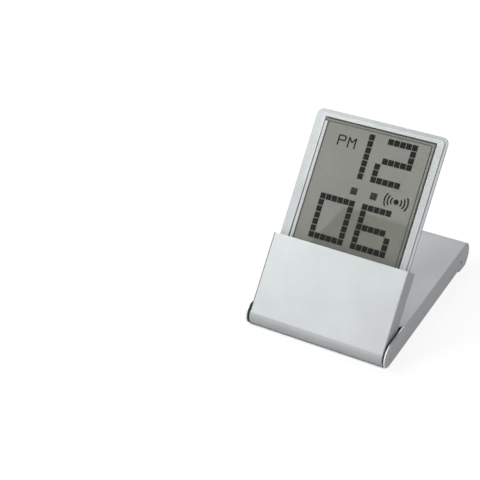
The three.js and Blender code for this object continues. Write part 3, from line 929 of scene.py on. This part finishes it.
# Signs: the strokes of the letters, and the bell's dot with its rings
LETTERS = [
    ((-17.2, 79.1), (-17.2, 83.6)), ((-17.2, 83.5), (-14.3, 83.5)),
    ((-14.2, 83.5), (-14.2, 81.5)), ((-14.2, 81.5), (-17.2, 81.5)),
    ((-12.5, 78.9), (-12.5, 83.6)), ((-12.5, 83.5), (-11.0, 81.4)),
    ((-11.0, 81.4), (-9.4, 83.5)), ((-9.4, 83.6), (-9.4, 78.9)),
]
LETTER_STROKE = 0.55
BELL = (15.52, 61.85)
BELL_DOT = 1.12
BELL_RINGS = (2.63, 4.08, 5.5)
RING_STROKE = 0.6
RING_SPAN = 0.52


def patch(name, x, z, width, height):
    one = block(
        name,
        (x - width / 2, INK_FRONT, z - height / 2),
        (x + width / 2, INK_BACK, z + height / 2),
    )
    round_edges(one, upright, INK_ROUND, 2)
    return one


def figures():
    square = patch("figure_square", 0, 0, *FIGURE_SQUARE)
    squares = []
    for (x, z), rows in FIGURES.items():
        for down, row in enumerate(rows):
            for across, mark in enumerate(row):
                if mark == "#":
                    place = (x + across * FIGURE_STEP[0], 0, z - down * FIGURE_STEP[1])
                    squares.append(moved(copy_of(square, "figure_square"), *place))
    scrap(square)
    finish_piece(gathered("time_figures", squares), CASE, "clock_case", "lcd_glass", LCD_INK)
    dots = [patch("colon_square", x, z, *COLON_SQUARE) for x, z in COLON]
    finish_piece(gathered("colon_squares", dots), CASE, "clock_case", "lcd_glass", LCD_FAINT_INK)


figures()


def stroke(start, end, width):
    a, b = Vector(start), Vector(end)
    along = b - a
    half = along.length / 2
    bar = block("stroke", (-half, INK_FRONT, -width / 2), (half, INK_BACK, width / 2))
    bar.rotation_euler.y = -math.atan2(along.y, along.x)
    centre = (a + b) / 2
    return moved(bar, centre.x, 0, centre.y)


def signs():
    strokes = [stroke(a, b, LETTER_STROKE) for a, b in LETTERS]
    finish_piece(gathered("afternoon_sign", strokes), CASE, "clock_case", "lcd_glass", LCD_INK)
    x, z = BELL
    bell = peg("alarm_sign", BELL_DOT, BELL, INK_FRONT, INK_BACK, 32)
    for radius in BELL_RINGS:
        ring = peg("ring", radius, BELL, INK_FRONT, INK_BACK, 64)
        carve(ring, peg("core", radius - RING_STROKE, BELL, -5, 5, 64))
        half = radius * RING_SPAN
        for up in (-1, 1):
            low, high = sorted((z + up * half, z + up * 12))
            carve(ring, block("trim", (x - 12, -5, low), (x + 12, 5, high)))
        weld(bell, ring)
    finish_piece(bell, CASE, "clock_case", "lcd_glass", LCD_INK)


signs()

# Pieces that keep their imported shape
KEPT = {
    STEEL: ["coin_cell"],
    BLACK_NYLON: ["left_hinge_washer", "right_hinge_washer", "display_gasket"],
    BRASS: [
        "left_hinge_bush", "right_hinge_bush", "alarm_sounder", "battery_leaf_contact",
        "battery_rim_contact",
    ],
    LCD_GLASS: ["lcd_rear_glass"],
    FOIL: ["lcd_reflector"],
    ALUMINIUM: ["display_back_plate"],
    GREEN_BOARD: ["circuit_board"],
    AMBER_FILM: ["lcd_ribbon"],
    PALE_RUBBER: ["key_pad"],
}
for material, names in KEPT.items():
    for name in names:
        frame["nodes"][name].material_slots[0].material = material


# Studio, in metres
def plain_view(tree):
    """One for rays from the camera, a mirror or a clear piece, and zero for the rest."""
    path = node(tree, "ShaderNodeLightPath")
    direct = larger_of(tree, path.outputs["Is Camera Ray"], path.outputs["Is Glossy Ray"])
    return larger_of(tree, direct, path.outputs["Is Transmission Ray"])


def grey(value):
    return (value, value, value, 1)


def floor():
    """A white floor that darkens only where the clock stands on it."""
    bpy.ops.object.select_all(action="DESELECT")
    bpy.ops.mesh.primitive_plane_add(size=6)
    plane = bpy.context.object
    plane.name = "floor"
    material = bpy.data.materials.new("floor_white")
    material.use_nodes = True
    tree = material.node_tree
    shader = tree.nodes["Principled BSDF"]
    shader.inputs["Roughness"].default_value = 0.9
    shader.inputs["Specular IOR Level"].default_value = 0.0
    shader.inputs["Emission Color"].default_value = grey(0.9)
    shown = plain_view(tree)
    tint = node(tree, "ShaderNodeMix", {"data_type": "RGBA"})
    tint.inputs[6].default_value = grey(0.7)
    tint.inputs[7].default_value = grey(0.12)
    level = node(tree, "ShaderNodeMath", {"operation": "MULTIPLY"})
    open_sky = node(tree, "ShaderNodeAmbientOcclusion", Distance=0.03)
    shade = node(tree, "ShaderNodeMapRange", **{"From Min": 0.16, "From Max": 0.23})
    wire(tree, [
        (shown, tint.inputs[0]),
        (tint.outputs[2], shader.inputs["Base Color"]),
        (shown, level.inputs[0]),
        (open_sky.outputs["AO"], shade.inputs["Value"]),
        (shade.outputs[0], level.inputs[1]),
        (level.outputs[0], shader.inputs["Emission Strength"]),
    ])
    plane.data.materials.append(material)


floor()


def surroundings():
    """Soft light from all sides, seen as plain white."""
    world = bpy.data.worlds.new("studio")
    bpy.context.scene.world = world
    world.use_nodes = True
    tree = world.node_tree
    light = tree.nodes["Background"]
    light.inputs["Color"].default_value = grey(1)
    level = node(tree, "ShaderNodeMapRange", **{"To Min": 0.38, "To Max": 1.0})
    wire(tree, [
        (plain_view(tree), level.inputs["Value"]),
        (level.outputs[0], light.inputs["Strength"]),
    ])


surroundings()


def lamp(name, power, size, place, aim, colour=(1, 1, 1)):
    bpy.ops.object.select_all(action="DESELECT")
    bpy.ops.object.light_add(type="AREA", location=place)
    made = bpy.context.object
    made.name = name
    made.data.energy = power
    made.data.size = size
    made.data.color = colour
    made.rotation_euler = (Vector(aim) - Vector(place)).to_track_quat("-Z", "Y").to_euler()


lamp("key_light", 28.2, 0.8, (-1.15, -1.1, 1.4), (0, -0.02, 0.03), (0.96, 1, 0.96))
lamp("front_light", 1.3, 0.45, (-0.3, -1.1, 0.2), (0, -0.04, 0.02))
lamp("top_light", 7.2, 0.8, (-0.6, 0.6, 1.2), (0, 0, 0.03), (0.98, 0.99, 1))


def dark_card(name, corners, *hidden_from):
    """A dark card beside the set, which the camera doesn't see."""
    bpy.ops.object.select_all(action="DESELECT")
    bpy.ops.mesh.primitive_plane_add(size=1)
    card = bpy.context.object
    card.name = name
    for point, corner in zip(card.data.vertices, corners):
        point.co = corner
    card.data.materials.append(BLACK_NYLON)
    for ray in ("camera", "transmission", *hidden_from):
        setattr(card, f"visible_{ray}", False)


LENS_FLAG = [
    (-0.276, -0.5764, 0.3793), (-0.1579, -0.6098, 0.3999),
    (-0.2354, -0.5391, 0.4512), (-0.1567, -0.56, 0.4666),
]
SIDE_FLAG = [(0.23, -0.3, 0.02), (0.23, 0.5, 0.02), (0.23, -0.3, 0.6), (0.23, 0.5, 0.6)]
dark_card("lens_flag", LENS_FLAG, "diffuse", "shadow")
dark_card("side_flag", SIDE_FLAG, "glossy", "shadow")

# Camera
CAMERA_PLACE = (0.157883, -0.422097, 0.285908)
CAMERA_RIGHT = Vector((0.876014, 0.481190, 0.032501))
CAMERA_AHEAD = Vector((-0.401424, 0.764833, -0.503874))
CAMERA_LENS = 87.215
SENSOR_WIDTH = 36.0


def camera():
    bpy.ops.object.camera_add()
    made = bpy.context.object
    made.name = "camera"
    axes = Matrix((CAMERA_RIGHT, CAMERA_RIGHT.cross(CAMERA_AHEAD), -CAMERA_AHEAD))
    made.matrix_world = Matrix.Translation(CAMERA_PLACE) @ axes.transposed().to_4x4()
    made.data.sensor_width = SENSOR_WIDTH
    made.data.lens = CAMERA_LENS
    made.data.clip_start = 0.01
    bpy.context.scene.camera = made


camera()
bpy.context.scene.view_settings.view_transform = "Standard"
